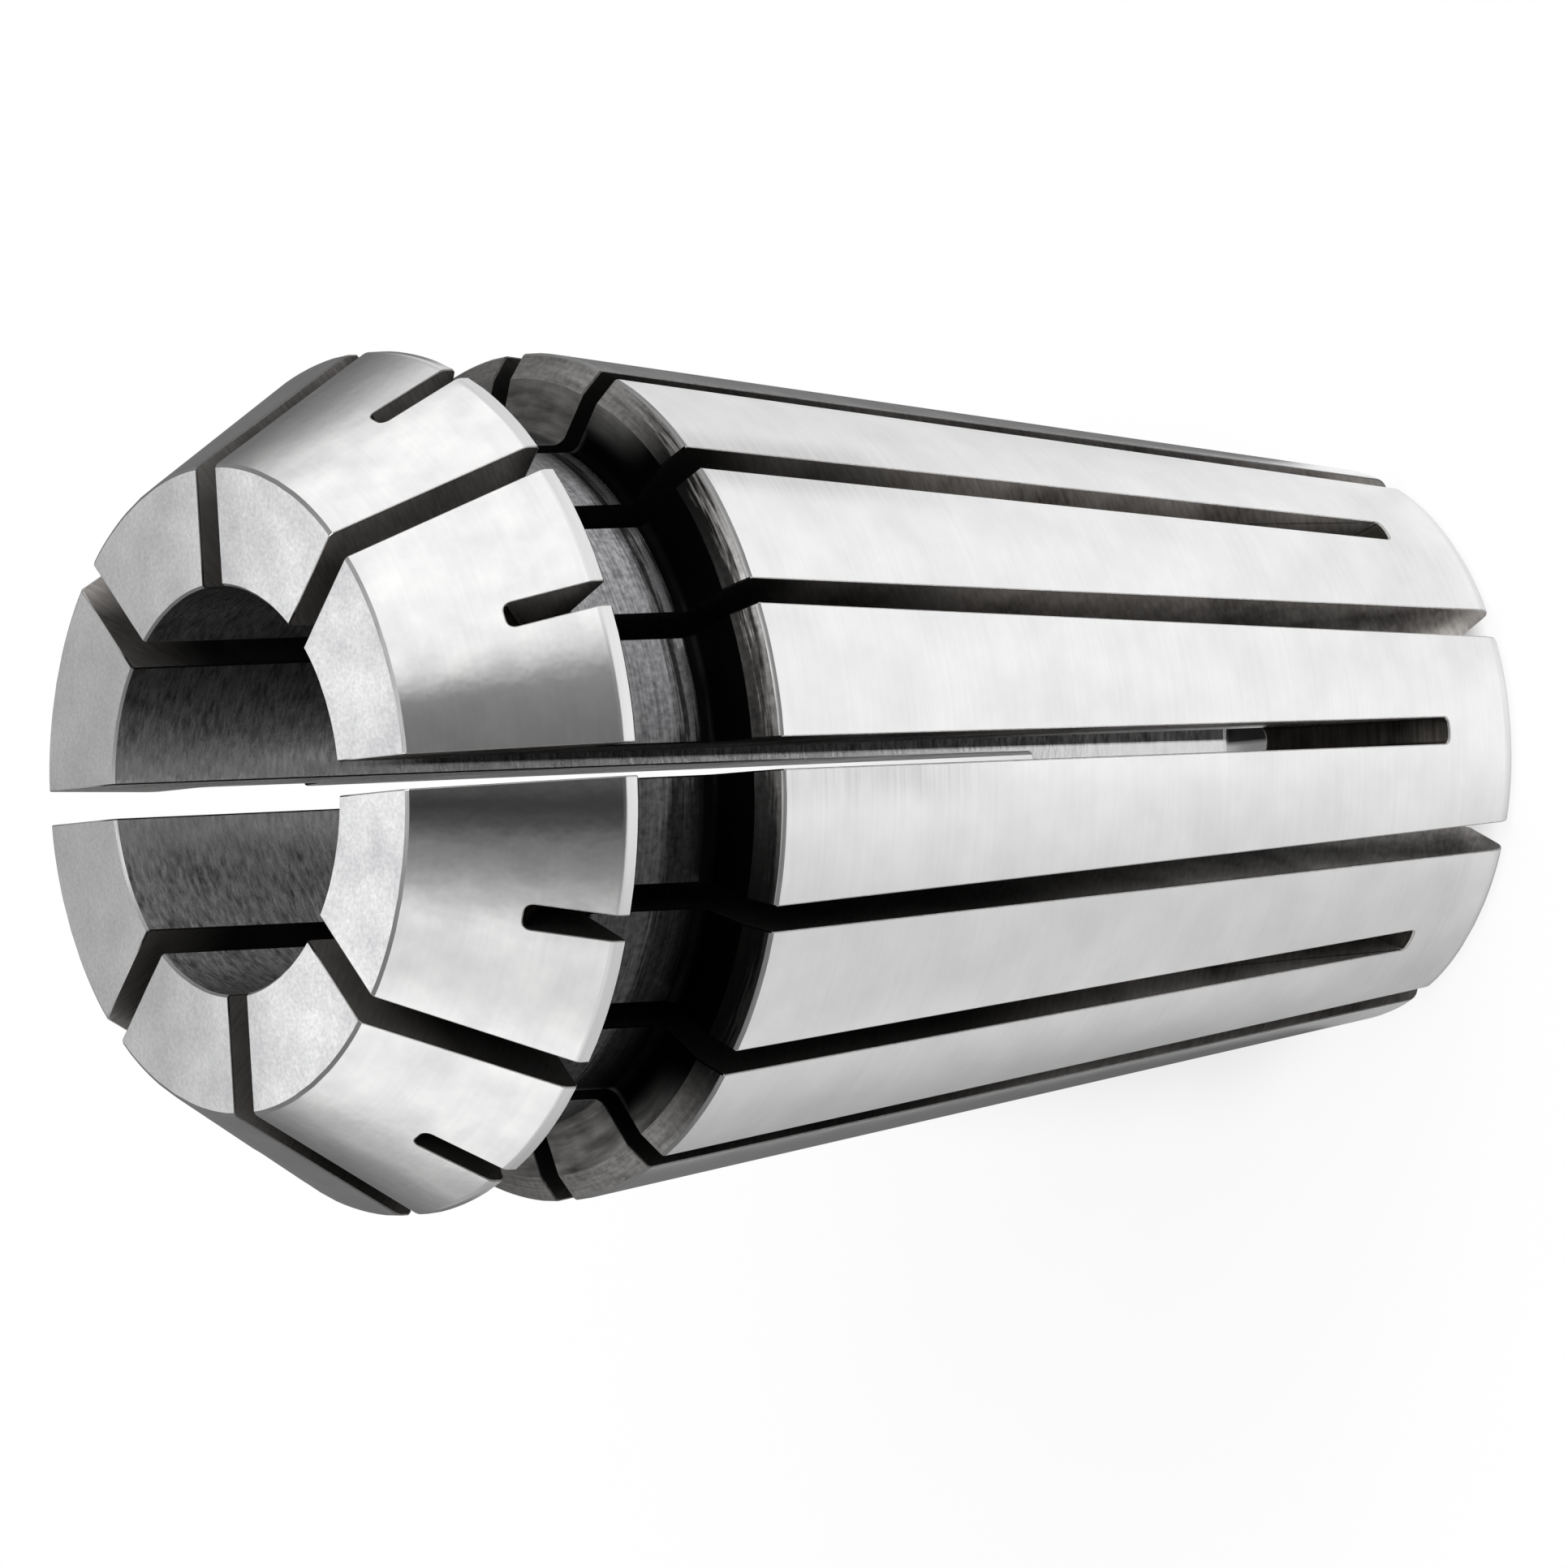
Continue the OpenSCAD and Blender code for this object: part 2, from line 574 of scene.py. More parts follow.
class Sheet:
    """A node tree with short calls to fill it."""

    def __init__(self, tree: bpy.types.NodeTree) -> None:
        """Args: tree: The tree of a material, the world or a node group."""
        self.tree = tree

    def feed(self, socket: bpy.types.NodeSocket, value: object) -> None:
        """Links a value of the tree into an input, or sets a plain one."""
        if isinstance(value, Signal):
            self.tree.links.new(value.socket, socket)
        else:
            socket.default_value = value

    def node(self, kind: str, *values: object, **settings: object) -> bpy.types.Node:
        """Adds a node.

        Args:
            kind: Its type name.
            *values: What its first inputs are fed with, in their order.
            **settings: Properties to set on it.

        Returns:
            The node.
        """
        made = self.tree.nodes.new(kind)
        for name, value in settings.items():
            setattr(made, name, value)
        for socket, value in zip(made.inputs, values):
            self.feed(socket, value)
        return made

    def outputs(self, kind: str, *values: object, **settings: object) -> dict[str, Signal]:
        """Adds a node, like node, and returns its outputs by name."""
        made = self.node(kind, *values, **settings)
        return {socket.name: Signal(self, socket) for socket in made.outputs}

    def signal(self, kind: str, *values: object, **settings: object) -> Signal:
        """Adds a node, like node, and returns its first output."""
        return Signal(self, self.node(kind, *values, **settings).outputs[0])

    def fill(self, made: bpy.types.Node, **values: object) -> Signal:
        """Feeds a node's inputs by name, with underscores for spaces.

        Args:
            made: The node.
            **values: What each named input is fed with.

        Returns:
            The node's first output, if it has one.
        """
        for name, value in values.items():
            self.feed(made.inputs[name.replace("_", " ")], value)
        return Signal(self, next(iter(made.outputs), None))

    def own(self, kind: str) -> bpy.types.Node:
        """The node of a type that the tree came with."""
        return next(node for node in self.tree.nodes if node.type == kind)

    def math(self, operation: str, *values: object, clamp: bool = False) -> Signal:
        """Adds a Math node and returns its value."""
        return self.signal("ShaderNodeMath", *values, operation=operation, use_clamp=clamp)

    def joined(self, x: object, y: object, z: object) -> Signal:
        """The vector or grey colour of three values."""
        return self.signal("ShaderNodeCombineXYZ", x, y, z)

    def parts(self, value: Signal) -> list[Signal]:
        """The three parts of a vector."""
        return list(self.outputs("ShaderNodeSeparateXYZ", value).values())

    def length(self, x: Signal, y: Signal) -> Signal:
        """The length of a flat vector."""
        flat = self.joined(x, y, 0.0)
        return self.outputs("ShaderNodeVectorMath", flat, operation="LENGTH")["Value"]

    def noise(self, place: Signal, rough: float = 0.5) -> Signal:
        """An even noise, with features of about 1 in size."""
        made = self.node("ShaderNodeTexNoise", noise_dimensions="3D")
        return self.fill(made, Vector=place, Scale=1.0, Detail=3.0, Roughness=rough)

    def blend(self, share: Signal, first: object, second: object) -> Signal:
        """Mixes two colours by a share of the second."""
        made = self.node("ShaderNodeMix", share, data_type="RGBA")
        for name, value in (("A", first), ("B", second)):
            socket = next(s for s in made.inputs if s.name == name and s.type == "RGBA")
            self.feed(socket, (*value, 1.0) if isinstance(value, tuple) else value)
        return Signal(self, next(s for s in made.outputs if s.type == "RGBA"))


def shared_group(
    name: str, sizes: tuple[str, ...], results: tuple[str, ...],
    fill: Callable[[Sheet, dict[str, Signal]], tuple[Signal, ...]],
) -> bpy.types.NodeTree:
    """The node group of a name, built on its first use.

    Args:
        name: Name of the group.
        sizes: Names of the inputs that follow the object's coordinates in metres.
        results: Names of its outputs.
        fill: Fills the group from its inputs and returns what it puts out.

    Returns:
        The node group.
    """
    if name in bpy.data.node_groups:
        return bpy.data.node_groups[name]
    group = bpy.data.node_groups.new(name, "ShaderNodeTree")
    group.interface.new_socket("Coordinates", in_out="INPUT", socket_type="NodeSocketVector")
    for way, names in (("INPUT", sizes), ("OUTPUT", results)):
        for each in names:
            group.interface.new_socket(each, in_out=way, socket_type="NodeSocketFloat")
    sheet = Sheet(group)
    sheet.node("NodeGroupOutput", *fill(sheet, sheet.outputs("NodeGroupInput")))
    return group


class Marks(Enum):
    """How a tool's marks lie on a surface."""

    RINGS = "rings"
    FACE_RINGS = "face_rings"
    GRAIN = "grain"
    SAWN = "sawn"


@dataclass(frozen=True)
class ToolMarks:
    """The marks of one kind of tool, from 0 in the marks to 1 on the ridges.

    Attributes:
        marks: How they lie.
        face_arm: Radius in metres at which rings on a flat face have their full reach.
        slant: How steeply the marks of a saw climb.
        turns: How fast they change around the axis.
    """

    marks: Marks
    face_arm: float = 0.006
    slant: float = 0.8
    turns: float = 3.0

    def fill(self, sheet: Sheet, given: dict[str, Signal]) -> tuple[Signal]:
        """Stretches an even noise along the cut, by the pitch and the reach of the marks."""
        x, y, z = sheet.parts(given["Coordinates"])
        across, along = TO_MM / given["Pitch"], TO_MM / given["Reach"]
        away = sheet.length(x, y)
        if self.marks is Marks.RINGS:
            place = x * along, y * along, z * across
        elif self.marks is Marks.GRAIN:
            place = x * across, y * along, z * across
        elif self.marks is Marks.FACE_RINGS:
            flat = away | MM
            arm = along * self.face_arm
            place = x / flat * arm, y / flat * arm, (away + z) * across
        else:
            turn = sheet.math("ARCTAN2", y, x) * self.turns
            place = (z - away * self.slant) * across, (z * self.slant + away) * along, turn
        return (sheet.noise(sheet.joined(*place), rough=0.6).spread(0.28, 0.72),)

    def group(self) -> bpy.types.NodeTree:
        """The node group of the marks, with their pitch and reach in millimetres."""
        name = f"tool_marks_{self.marks.value}"
        return shared_group(name, ("Pitch", "Reach"), ("Marks",), self.fill)


def cloud_group() -> bpy.types.NodeTree:
    """The node group of soft, cloudy unevenness from 0 to 1, with its size in millimetres."""

    def fill(sheet: Sheet, given: dict[str, Signal]) -> tuple[Signal]:
        """Fills the group with an even noise."""
        scale = TO_MM / given["Size"]
        place = sheet.joined(*[part * scale for part in sheet.parts(given["Coordinates"])])
        return (sheet.noise(place).spread(0.3, 0.7),)

    return shared_group("cloudy_tone", ("Size",), ("Cloud",), fill)


class Grime(Enum):
    """Surfaces whose colour is painted darker: painted shade, and darker patches on the taper."""

    SLOTS = "slots"
    NECK = "neck"
    WALL = "wall"
    SHOULDER = "shoulder"
    BORE = "bore"
    EDGES = "edges"
    TAPER = "taper"


Masks = tuple[Signal, Signal]


class ShadeAndGrimeMasks:
    """The painted shade of each surface and the taper's darker patches, as a mask of what is left
    undarkened and a mask of painted light.

    Sizes are in millimetres. The upper side is the one towards +X, the far side towards +Y.
    """

    def __init__(self, sheet: Sheet, given: dict[str, Signal]) -> None:
        """Works out what the masks share.

        Args:
            sheet: The group's tree.
            given: The coordinates, and the tool marks that fray the edges of the painted shade.
        """
        self.x, self.y, self.z = (part * TO_MM for part in sheet.parts(given["Coordinates"]))
        self.away = sheet.length(self.x, self.y)
        self.upward = self.x / (self.away | 1.0)
        self.side = abs(self.upward)
        self.frayed = given["Marks"] - 0.5
        self.deep = self.z.ease(13.5, 9.0)
        self.top = self.side.spread(0.9, 0.93)

    def bright(self, far_share: float = 0.0) -> Signal:
        """Painted light on the rear of the bore near its middle, and on a share of the far side."""
        rear = self.deep * self.away.spread(5.8, 4.8) * self.z.spread(2.0, 9.5, 1.0, 0.75)
        far = self.y.spread(3.4, 3.8, 0.0, far_share)
        return (rear | far) * abs(self.x).spread(1.4, 0.7)

    def slots(self) -> Masks:
        """Painted shade in the slots: darker towards the bore, behind the groove and on the lower
        side, lighter near both faces, with painted light in the bore.
        """
        z = self.z
        above = self.x.spread(-0.6, 0.6)
        upper = z.ease(12.5, 16.5, 1.0, 0.36) | z.spread(23.2, 24.2, 0.0, 0.65)
        lower = z.ease(8.0, 14.5, 0.6, 0.03)
        outside = self.away.ease(4.8, 6.2, 0.0, above.between(lower, upper))
        groove = z.ease(17.6, 19.6) * z.ease(24.2, 23.4)
        least = above.between(0.7, z.spread(22.5, 23.5, 0.2, 0.75))
        undarkened = outside * (1.0 - groove) * self.top.between(1.0, least)
        at_face = z.ease(25.2, 27.2, 0.0, 0.32)
        at_rear = z.spread(6.5, 0.5, 0.0, above.between(0.5, 0.85))
        bright = self.bright(far_share=1.0)
        return undarkened | at_face | at_rear | bright, bright

    def neck(self) -> Masks:
        """Painted shade on the groove's bottom: light in front, then a black streak and a thin
        lighter rim, darker towards the lower side.
        """
        height = self.z + self.frayed * 0.22 - self.x.spread(-1.2, 0.6, 0.45, 0.0)
        rim = height.spread(20.86, 20.96) * height.spread(21.2, 21.1) * self.x.spread(-1.2, 0.6)
        undarkened = height.spread(21.25, 21.5, 0.06, 0.94) | rim
        levels = ((-0.25, 0.165), (-0.05, 0.22), (0.1, 0.41), (0.35, 0.7), (0.6, 1.0))
        return undarkened * self.upward.stops(levels) | self.top, self.bright()

    def wall(self) -> Masks:
        """Painted shade: the groove's walls are black but for their rims at the top and bottom."""
        return self.side.ease(0.76, 0.9) * self.away.ease(7.2, 7.9) | self.top, self.bright()

    def shoulder(self) -> Masks:
        """Painted shade on the shoulder, leaving a frayed lighter rim that is wider on the upper
        side.
        """
        outward = self.away + self.frayed * 0.4
        rim = outward.ease(self.x.spread(-2.0, 3.0, 8.2, 8.1), 8.36)
        undarkened = rim * self.upward.ease(0.15, 0.75, 0.09, 1.0) | self.side.ease(0.72, 0.93)
        return undarkened, self.bright()

    def edges(self) -> Masks:
        """Painted shade: the sawn edges are dark in the bore and duller at the top and bottom."""
        bright = self.bright()
        return self.away.spread(4.3, 4.6) * self.side.spread(0.85, 0.95, 1.0, 0.3) | bright, bright

    def taper(self) -> Masks:
        """The taper is darker in a patch below the near slot and in one along the slot above it."""
        x, z = self.x, self.z
        below = x.ease(-1.3, -0.5) * x.spread(0.0, -0.2) * z.ease(13.5, 16.5)
        off_slot = abs((x + self.y) * cosine(45))
        beside = off_slot.ease(1.1, 0.4) * x.spread(1.0, 2.0) * z.ease(13.0, 17.0)
        return 1.0 - (below | beside) * self.frayed.spread(-0.5, 0.5, 1.0, 0.5), self.bright()

    def bore(self) -> Masks:
        """Painted shade in the bore: darker on the upper and lower sides away from its rear part,
        with a dark strip beside its far slot as painted shadow.
        """
        x, z = self.x, self.z
        strip = (x - z * 0.0085).spread(0.29, 0.35) * x.spread(1.0, 0.8)
        kept = 1.0 - strip * self.y.spread(0.0, 1.0) * z.spread(22.5, 20.0)
        undarkened = self.deep | x.ease(2.6, 0.4, 0.12, 1.0) * x.ease(-4.1, -2.8, 0.2, 1.0)
        return undarkened * kept, self.bright(far_share=0.5) * kept


def shade_and_grime_group(shade_and_grime: Grime) -> bpy.types.NodeTree:
    """The node group of the painted shade on one surface, with 1 where it is darkest, and of its
    painted light, with 1 where bright.
    """

    def fill(sheet: Sheet, given: dict[str, Signal]) -> Masks:
        """Fills the group with the masks of the surface."""
        masks = ShadeAndGrimeMasks(sheet, given)
        undarkened, bright = {
            Grime.SLOTS: masks.slots,
            Grime.NECK: masks.neck,
            Grime.WALL: masks.wall,
            Grime.SHOULDER: masks.shoulder,
            Grime.BORE: masks.bore,
            Grime.EDGES: masks.edges,
            Grime.TAPER: masks.taper,
        }[shade_and_grime]()
        return 1.0 - undarkened, bright

    return shared_group(f"grime_{shade_and_grime.value}", ("Marks",), ("Grime", "Bright"), fill)


@dataclass(frozen=True)
class SteelFinish:
    """One finish of the steel: its tone, its tool marks and its cloudiness.

    Attributes:
        name: Name of the material.
        dark: Colour in the deepest marks.
        light: Colour on the ridges.
        marks: How the marks lie.
        pitch: Spacing of the marks in millimetres.
        reach: Length of a mark in millimetres.
        smooth: Roughness where the surface is smoothest.
        rough: Roughness where it is roughest.
        relief: Depth of the marks in millimetres.
        cloud: Size of the clouds in millimetres.
        cloud_share: How much of the tone follows the clouds instead of the marks.
        metallic: How metallic the surface is.
        waviness: Height of the soft waves that follow the clouds, in millimetres.
        edge_tint: How strongly it mirrors at a glancing angle.
        shade_and_grime: Which mask paints its colour darker, if any: painted shade, and on the
            taper darker patches.
        shade_and_grime_depth: How much of its tone the mask takes away.
        painted_light_tone: Tone of the painted light.
        painted_light_share: How much of the surface's own tone the painted light covers.
    """

    name: str
    dark: Triple
    light: Triple
    marks: Marks
    pitch: float
    reach: float
    smooth: float
    rough: float
    relief: float
    cloud: float = 3.0
    cloud_share: float = 0.4
    metallic: float = 1.0
    waviness: float = 0.0
    edge_tint: float = 1.0
    shade_and_grime: Grime | None = None
    shade_and_grime_depth: float = 0.9
    painted_light_tone: float = 0.95
    painted_light_share: float = 0.85

    def material(self) -> bpy.types.Material:
        """Builds the material.

        Returns:
            A Principled material that reads the object's own coordinates.
        """
        made = bpy.data.materials.new(self.name)
        made.use_nodes = True
        sheet = Sheet(made.node_tree)
        place = sheet.outputs("ShaderNodeTexCoord")["Object"]
        tool = ToolMarks(self.marks).group()
        ridges = sheet.signal("ShaderNodeGroup", place, self.pitch, self.reach, node_tree=tool)
        clouds = sheet.signal("ShaderNodeGroup", place, self.cloud, node_tree=cloud_group())
        plain = ridges * (1.0 - self.cloud_share)
        tone = sheet.math("ADD", plain, clouds * self.cloud_share, clamp=True)
        colour = sheet.blend(tone, self.dark, self.light)
        rough = tone.between(self.rough, self.smooth)
        # Painted shade darkens the colour, and painted light lightens it, where the masks say.
        if self.shade_and_grime:
            group = shade_and_grime_group(self.shade_and_grime)
            painted_masks = sheet.outputs("ShaderNodeGroup", place, ridges, node_tree=group)
            kept = painted_masks["Grime"].between(1.0, 1.0 - self.shade_and_grime_depth)
            colour = sheet.signal(
                "ShaderNodeVectorMath", colour, sheet.joined(kept, kept, kept), operation="MULTIPLY"
            )
            bright = painted_masks["Bright"] * self.painted_light_share
            colour = sheet.blend(bright, colour, (self.painted_light_tone,) * 3)
            rough = rough * bright.between(1.0, 0.5)
        bump = sheet.node("ShaderNodeBump")
        normal = sheet.fill(bump, Strength=1.0, Distance=self.relief * MM, Height=ridges)
        if self.waviness:
            waves = sheet.node("ShaderNodeBump")
            height = self.waviness * MM
            sheet.fill(bump, Normal=sheet.fill(waves, Strength=1.0, Distance=height, Height=clouds))
        sheet.fill(
            sheet.own("BSDF_PRINCIPLED"), Base_Color=colour, Metallic=self.metallic,
            Specular_Tint=(*[self.edge_tint] * 3, 1.0), Roughness=rough, Normal=normal,
        )
        return made


def steel_finishes() -> dict[Surface, SteelFinish]:
    """The finish of each machined surface."""
    return {
        Surface.TAPER: SteelFinish(
            "ground_taper", (0.78, 0.78, 0.785), (0.9, 0.9, 0.9), Marks.RINGS,
            pitch=0.09, reach=3.0, smooth=0.12, rough=0.2, relief=0.0002, cloud=1.2,
            cloud_share=0.7, waviness=0.003, shade_and_grime=Grime.TAPER, shade_and_grime_depth=0.24,
        ),
        Surface.NOSE: SteelFinish(
            "ground_nose", (0.73, 0.73, 0.735), (0.93, 0.93, 0.922), Marks.RINGS,
            pitch=0.09, reach=3.0, smooth=0.08, rough=0.14, relief=0.0002, cloud=1.0,
            cloud_share=0.8, waviness=0.0036,
        ),
        Surface.NUT_FACE: SteelFinish(
            "satin_nut_face", (0.54, 0.54, 0.555), (0.9, 0.9, 0.9), Marks.GRAIN,
            pitch=0.08, reach=0.1, smooth=0.22, rough=0.34, relief=0.0013, cloud=1.1,
            cloud_share=0.5,
        ),
        Surface.REAR_FACE: SteelFinish(
            "faced_rear", (0.6, 0.6, 0.61), (0.8, 0.8, 0.8), Marks.FACE_RINGS,
            pitch=0.12, reach=2.5, smooth=0.25, rough=0.4, relief=0.001,
        ),
        Surface.GROOVE: SteelFinish(
            "turned_groove", (0.12, 0.12, 0.125), (0.56, 0.56, 0.575), Marks.RINGS,
            pitch=0.055, reach=1.5, smooth=0.2, rough=0.36, relief=0.001, cloud=0.12,
            cloud_share=0.45, edge_tint=0.5, shade_and_grime=Grime.NECK, shade_and_grime_depth=0.96,
        ),
        Surface.SHOULDER: SteelFinish(
            "turned_shoulder", (0.13, 0.124, 0.12), (0.43, 0.42, 0.41), Marks.RINGS,
            pitch=0.055, reach=1.5, smooth=0.3, rough=0.45, relief=0.0008, cloud=0.12,
            cloud_share=0.4, edge_tint=0.5, shade_and_grime=Grime.SHOULDER, shade_and_grime_depth=0.97,
        ),
        Surface.BORE: SteelFinish(
            "honed_bore", (0.02, 0.018, 0.018), (1.0, 0.99, 0.99), Marks.RINGS,
            pitch=0.09, reach=0.3, smooth=0.16, rough=0.4, relief=0.006, cloud=0.5,
            cloud_share=0.3, metallic=0.74, edge_tint=0.7, shade_and_grime=Grime.BORE,
        ),
        Surface.EDGE: SteelFinish(
            "ground_edge", (0.7, 0.7, 0.7), (0.82, 0.82, 0.82), Marks.RINGS,
            pitch=0.08, reach=2.0, smooth=0.16, rough=0.24, relief=0.0003,
        ),
        Surface.SLOT: SteelFinish(
            "sawn_slot", (0.14, 0.126, 0.118), (0.92, 0.88, 0.845), Marks.SAWN,
            pitch=0.1, reach=0.8, smooth=0.35, rough=0.6, relief=0.004, cloud=1.6,
            cloud_share=0.65, metallic=0.85, edge_tint=0.5, shade_and_grime=Grime.SLOTS, shade_and_grime_depth=0.95,
        ),
        Surface.DEBURRED: SteelFinish(
            "deburred_edge", (0.3, 0.29, 0.28), (0.62, 0.61, 0.6), Marks.RINGS,
            pitch=0.08, reach=0.5, smooth=0.25, rough=0.4, relief=0.0005, shade_and_grime=Grime.EDGES,
        ),
        # The groove wall's near-black tones are painted shade of the narrow groove; its mask
        # darkens them further.
        Surface.GROOVE_WALL: SteelFinish(
            "turned_groove_wall", (0.06, 0.058, 0.056), (0.23, 0.226, 0.222), Marks.RINGS,
            pitch=0.06, reach=1.5, smooth=0.35, rough=0.55, relief=0.001, cloud=0.8,
            edge_tint=0.3, shade_and_grime=Grime.WALL, shade_and_grime_depth=0.98,
        ),
        # The run-out's near-black tones are painted shade at the blind ends of the slots.
        Surface.SLOT_FLOOR: SteelFinish(
            "sawn_run_out", (0.008, 0.007, 0.006), (0.06, 0.055, 0.05), Marks.SAWN,
            pitch=0.1, reach=0.8, smooth=0.4, rough=0.65, relief=0.004, cloud=0.7,
            cloud_share=0.5, edge_tint=0.4,
        ),
        Surface.CHAMFER: SteelFinish(
            "broken_edge", (0.2, 0.2, 0.2), (0.32, 0.32, 0.32), Marks.RINGS,
            pitch=0.08, reach=1.0, smooth=0.5, rough=0.62, relief=0.0003,
        ),
    }


@dataclass
class Collet:
    """The whole collet: one blank with its slots, edges and finishes.

    Attributes:
        blank: The turned blank.
        front_slot_end: Distance from the rear face to the blind end of the front slots.
        front_slot_open_w: Their width at the nut face.
        front_slot_blind_w: Their width at their blind end.
        rear_slot_end: Distance from the nut face to the blind end of the rear slots.
        rear_slot_open_w: Their width at the rear face.
        rear_slot_blind_w: Their width at their blind end.
        rear_slot_corner_r: Corner radius of their blind end.
        deburr: How far the sawn edges are broken.
        groove_margin: How far past the groove its edges still have its walls' finish.
        sharp_angle: The least angle of an edge that is broken, in degrees.
        floor_angle: The largest angle between sawn faces that are shaded as one, in degrees.
        floor_share: How squarely to the cut a face of the cutter lies that isn't a run-out.
    """

    blank: TurnedBlank = field(default_factory=TurnedBlank)
    front_slot_end: float = 1.9
    front_slot_open_w: float = 0.66
    front_slot_blind_w: float = 0.52
    rear_slot_end: float = 2.1
    rear_slot_open_w: float = 0.58
    rear_slot_blind_w: float = 0.5
    rear_slot_corner_r: float = 0.17
    deburr: float = 0.03
    groove_margin: float = 0.01
    sharp_angle: float = 28.0
    floor_angle: float = 30.0
    floor_share: float = 0.93

    def slots(self) -> list[SawSlot]:
        """The front and the rear set of slots."""
        blank = self.blank
        return [
            SawSlot(
                start_z=blank.length, blind_z=self.front_slot_end,
                blind_r=blank.taper_r_at(self.front_slot_end), open_w=self.front_slot_open_w,
                blind_w=self.front_slot_blind_w, first_angle=0.0,
            ),
            SawSlot(
                start_z=0.0, blind_z=blank.length - self.rear_slot_end,
                blind_r=blank.nose_r_at(self.rear_slot_end), open_w=self.rear_slot_open_w,
                blind_w=self.rear_slot_blind_w, first_angle=360.0 / blank.slot_pitches,
                corner_r=self.rear_slot_corner_r,
            ),
        ]

    def cutters(self) -> bmesh.types.BMesh:
        """All slot cutters as one mesh of separate solids."""
        mesh = bmesh.new()
        for slot in self.slots():
            slot.cut_into(mesh)
        bmesh.ops.recalc_face_normals(mesh, faces=mesh.faces[:])
        for face in mesh.faces:
            middle = face.calc_center_median()
            across = Vector((-middle.y, middle.x, 0.0)).normalized()
            is_floor = abs(face.normal.dot(across)) < self.floor_share
            face.material_index = (Surface.SLOT_FLOOR if is_floor else Surface.SLOT).value
        return mesh

    def sawn(self, materials: list[bpy.types.Material]) -> bmesh.types.BMesh:
        """Cuts the slots out of the blank.

        Args:
            materials: The materials in the order of the surfaces.

        Returns:
            The sawn collet, in millimetres.
        """
        blank = as_object("collet_blank", self.blank.spin(), materials)
        cutters = as_object("slot_cutters", self.cutters(), materials)
        cut = blank.modifiers.new("saw", "BOOLEAN")
        cut.operation = "DIFFERENCE"
        cut.solver = "EXACT"
        cut.object = cutters
        cut.use_self = False
        result = bpy.data.meshes.new_from_object(
            blank.evaluated_get(bpy.context.evaluated_depsgraph_get())
        )
        mesh = bmesh.new()
        mesh.from_mesh(result)
        for spent in (blank, cutters):
            shape = spent.data
            bpy.data.objects.remove(spent)
            bpy.data.meshes.remove(shape)
        bpy.data.meshes.remove(result)
        bmesh.ops.remove_doubles(mesh, verts=mesh.verts[:], dist=WELD_GAP)
        bmesh.ops.dissolve_degenerate(mesh, edges=mesh.edges[:], dist=WELD_GAP)
        return mesh

    def deburred(self, mesh: bmesh.types.BMesh) -> None:
        """Breaks the edges that the saw leaves.

        Args:
            mesh: The sawn collet, which is changed in place.
        """
        limit = math.radians(self.sharp_angle)
        sharp = []
        for edge in mesh.edges:
            kinds = {face.material_index in SAWN for face in edge.link_faces}
            if len(kinds) == 2 and edge.calc_face_angle_signed() > limit:
                sharp.append(edge)
        made = bmesh.ops.bevel(
            mesh, geom=sharp, offset=self.deburr, offset_type="OFFSET", segments=2, profile=0.5,
            affect="EDGES", clamp_overlap=False, loop_slide=True, material=-1,
        )
        low = self.blank.taper_top - self.groove_margin
        high = self.blank.groove_top + self.groove_margin
        # Edges in the groove take the wall's finish, with its painted shade.
        for face in made["faces"]:
            in_groove = low < face.calc_center_median().z < high
            face.material_index = (Surface.GROOVE_WALL if in_groove else Surface.DEBURRED).value

    def shaded(self, shape: bpy.types.Mesh) -> None:
        """Gives each corner of the mesh the normal of the surface that was turned or sawn.

        Args:
            shape: The finished mesh, still in millimetres.
        """
        lines = SectionLines(self.blank.half_section())
        limit = cosine(self.floor_angle)
        kinds: tuple[list[bpy.types.MeshPolygon], ...] = ([], [], [])
        around: dict[int, list[Vector]] = {}
        for face in shape.polygons:
            is_sawn, is_deburred = face.material_index in SAWN, face.material_index == DEBURRED
            kinds[is_sawn + 2 * is_deburred].append(face)
            if is_sawn:
                for index in face.vertices:
                    around.setdefault(index, []).append(face.normal * math.sqrt(face.area))
        turned, sawn, deburred = kinds
        known: dict[int, Vector] = {}
        normals = [Vector((0, 0, 1))] * len(shape.loops)
        for face in turned:
            line = lines.nearest(face.center)
            for loop, index in zip(face.loop_indices, face.vertices):
                normals[loop] = line.normal(shape.vertices[index].co)
                known.setdefault(index, normals[loop])
        for face in sawn:
            for loop, index in zip(face.loop_indices, face.vertices):
                near = [n for n in around[index] if n.normalized().dot(face.normal) > limit]
                normals[loop] = sum(near, Vector()).normalized() if near else face.normal.copy()
                known.setdefault(index, normals[loop])
        for face in deburred:
            for loop, index in zip(face.loop_indices, face.vertices):
                normals[loop] = known.get(index) or face.normal.copy()
        shape.normals_split_custom_set([tuple(normal) for normal in normals])

    def build(self) -> bpy.types.Object:
        """Builds and dresses the collet.

        Returns:
            The finished object, in metres, in the shared frame.
        """
        finishes = steel_finishes()
        materials = [finishes[surface].material() for surface in Surface]
        mesh = self.sawn(materials)
        self.deburred(mesh)
        for face in mesh.faces:
            face.smooth = True
        collet = as_object("slotted_collet", mesh, materials)
        self.shaded(collet.data)
        collet.data.transform(Matrix.Scale(MM, 4))
        collet.data.update()
        return collet


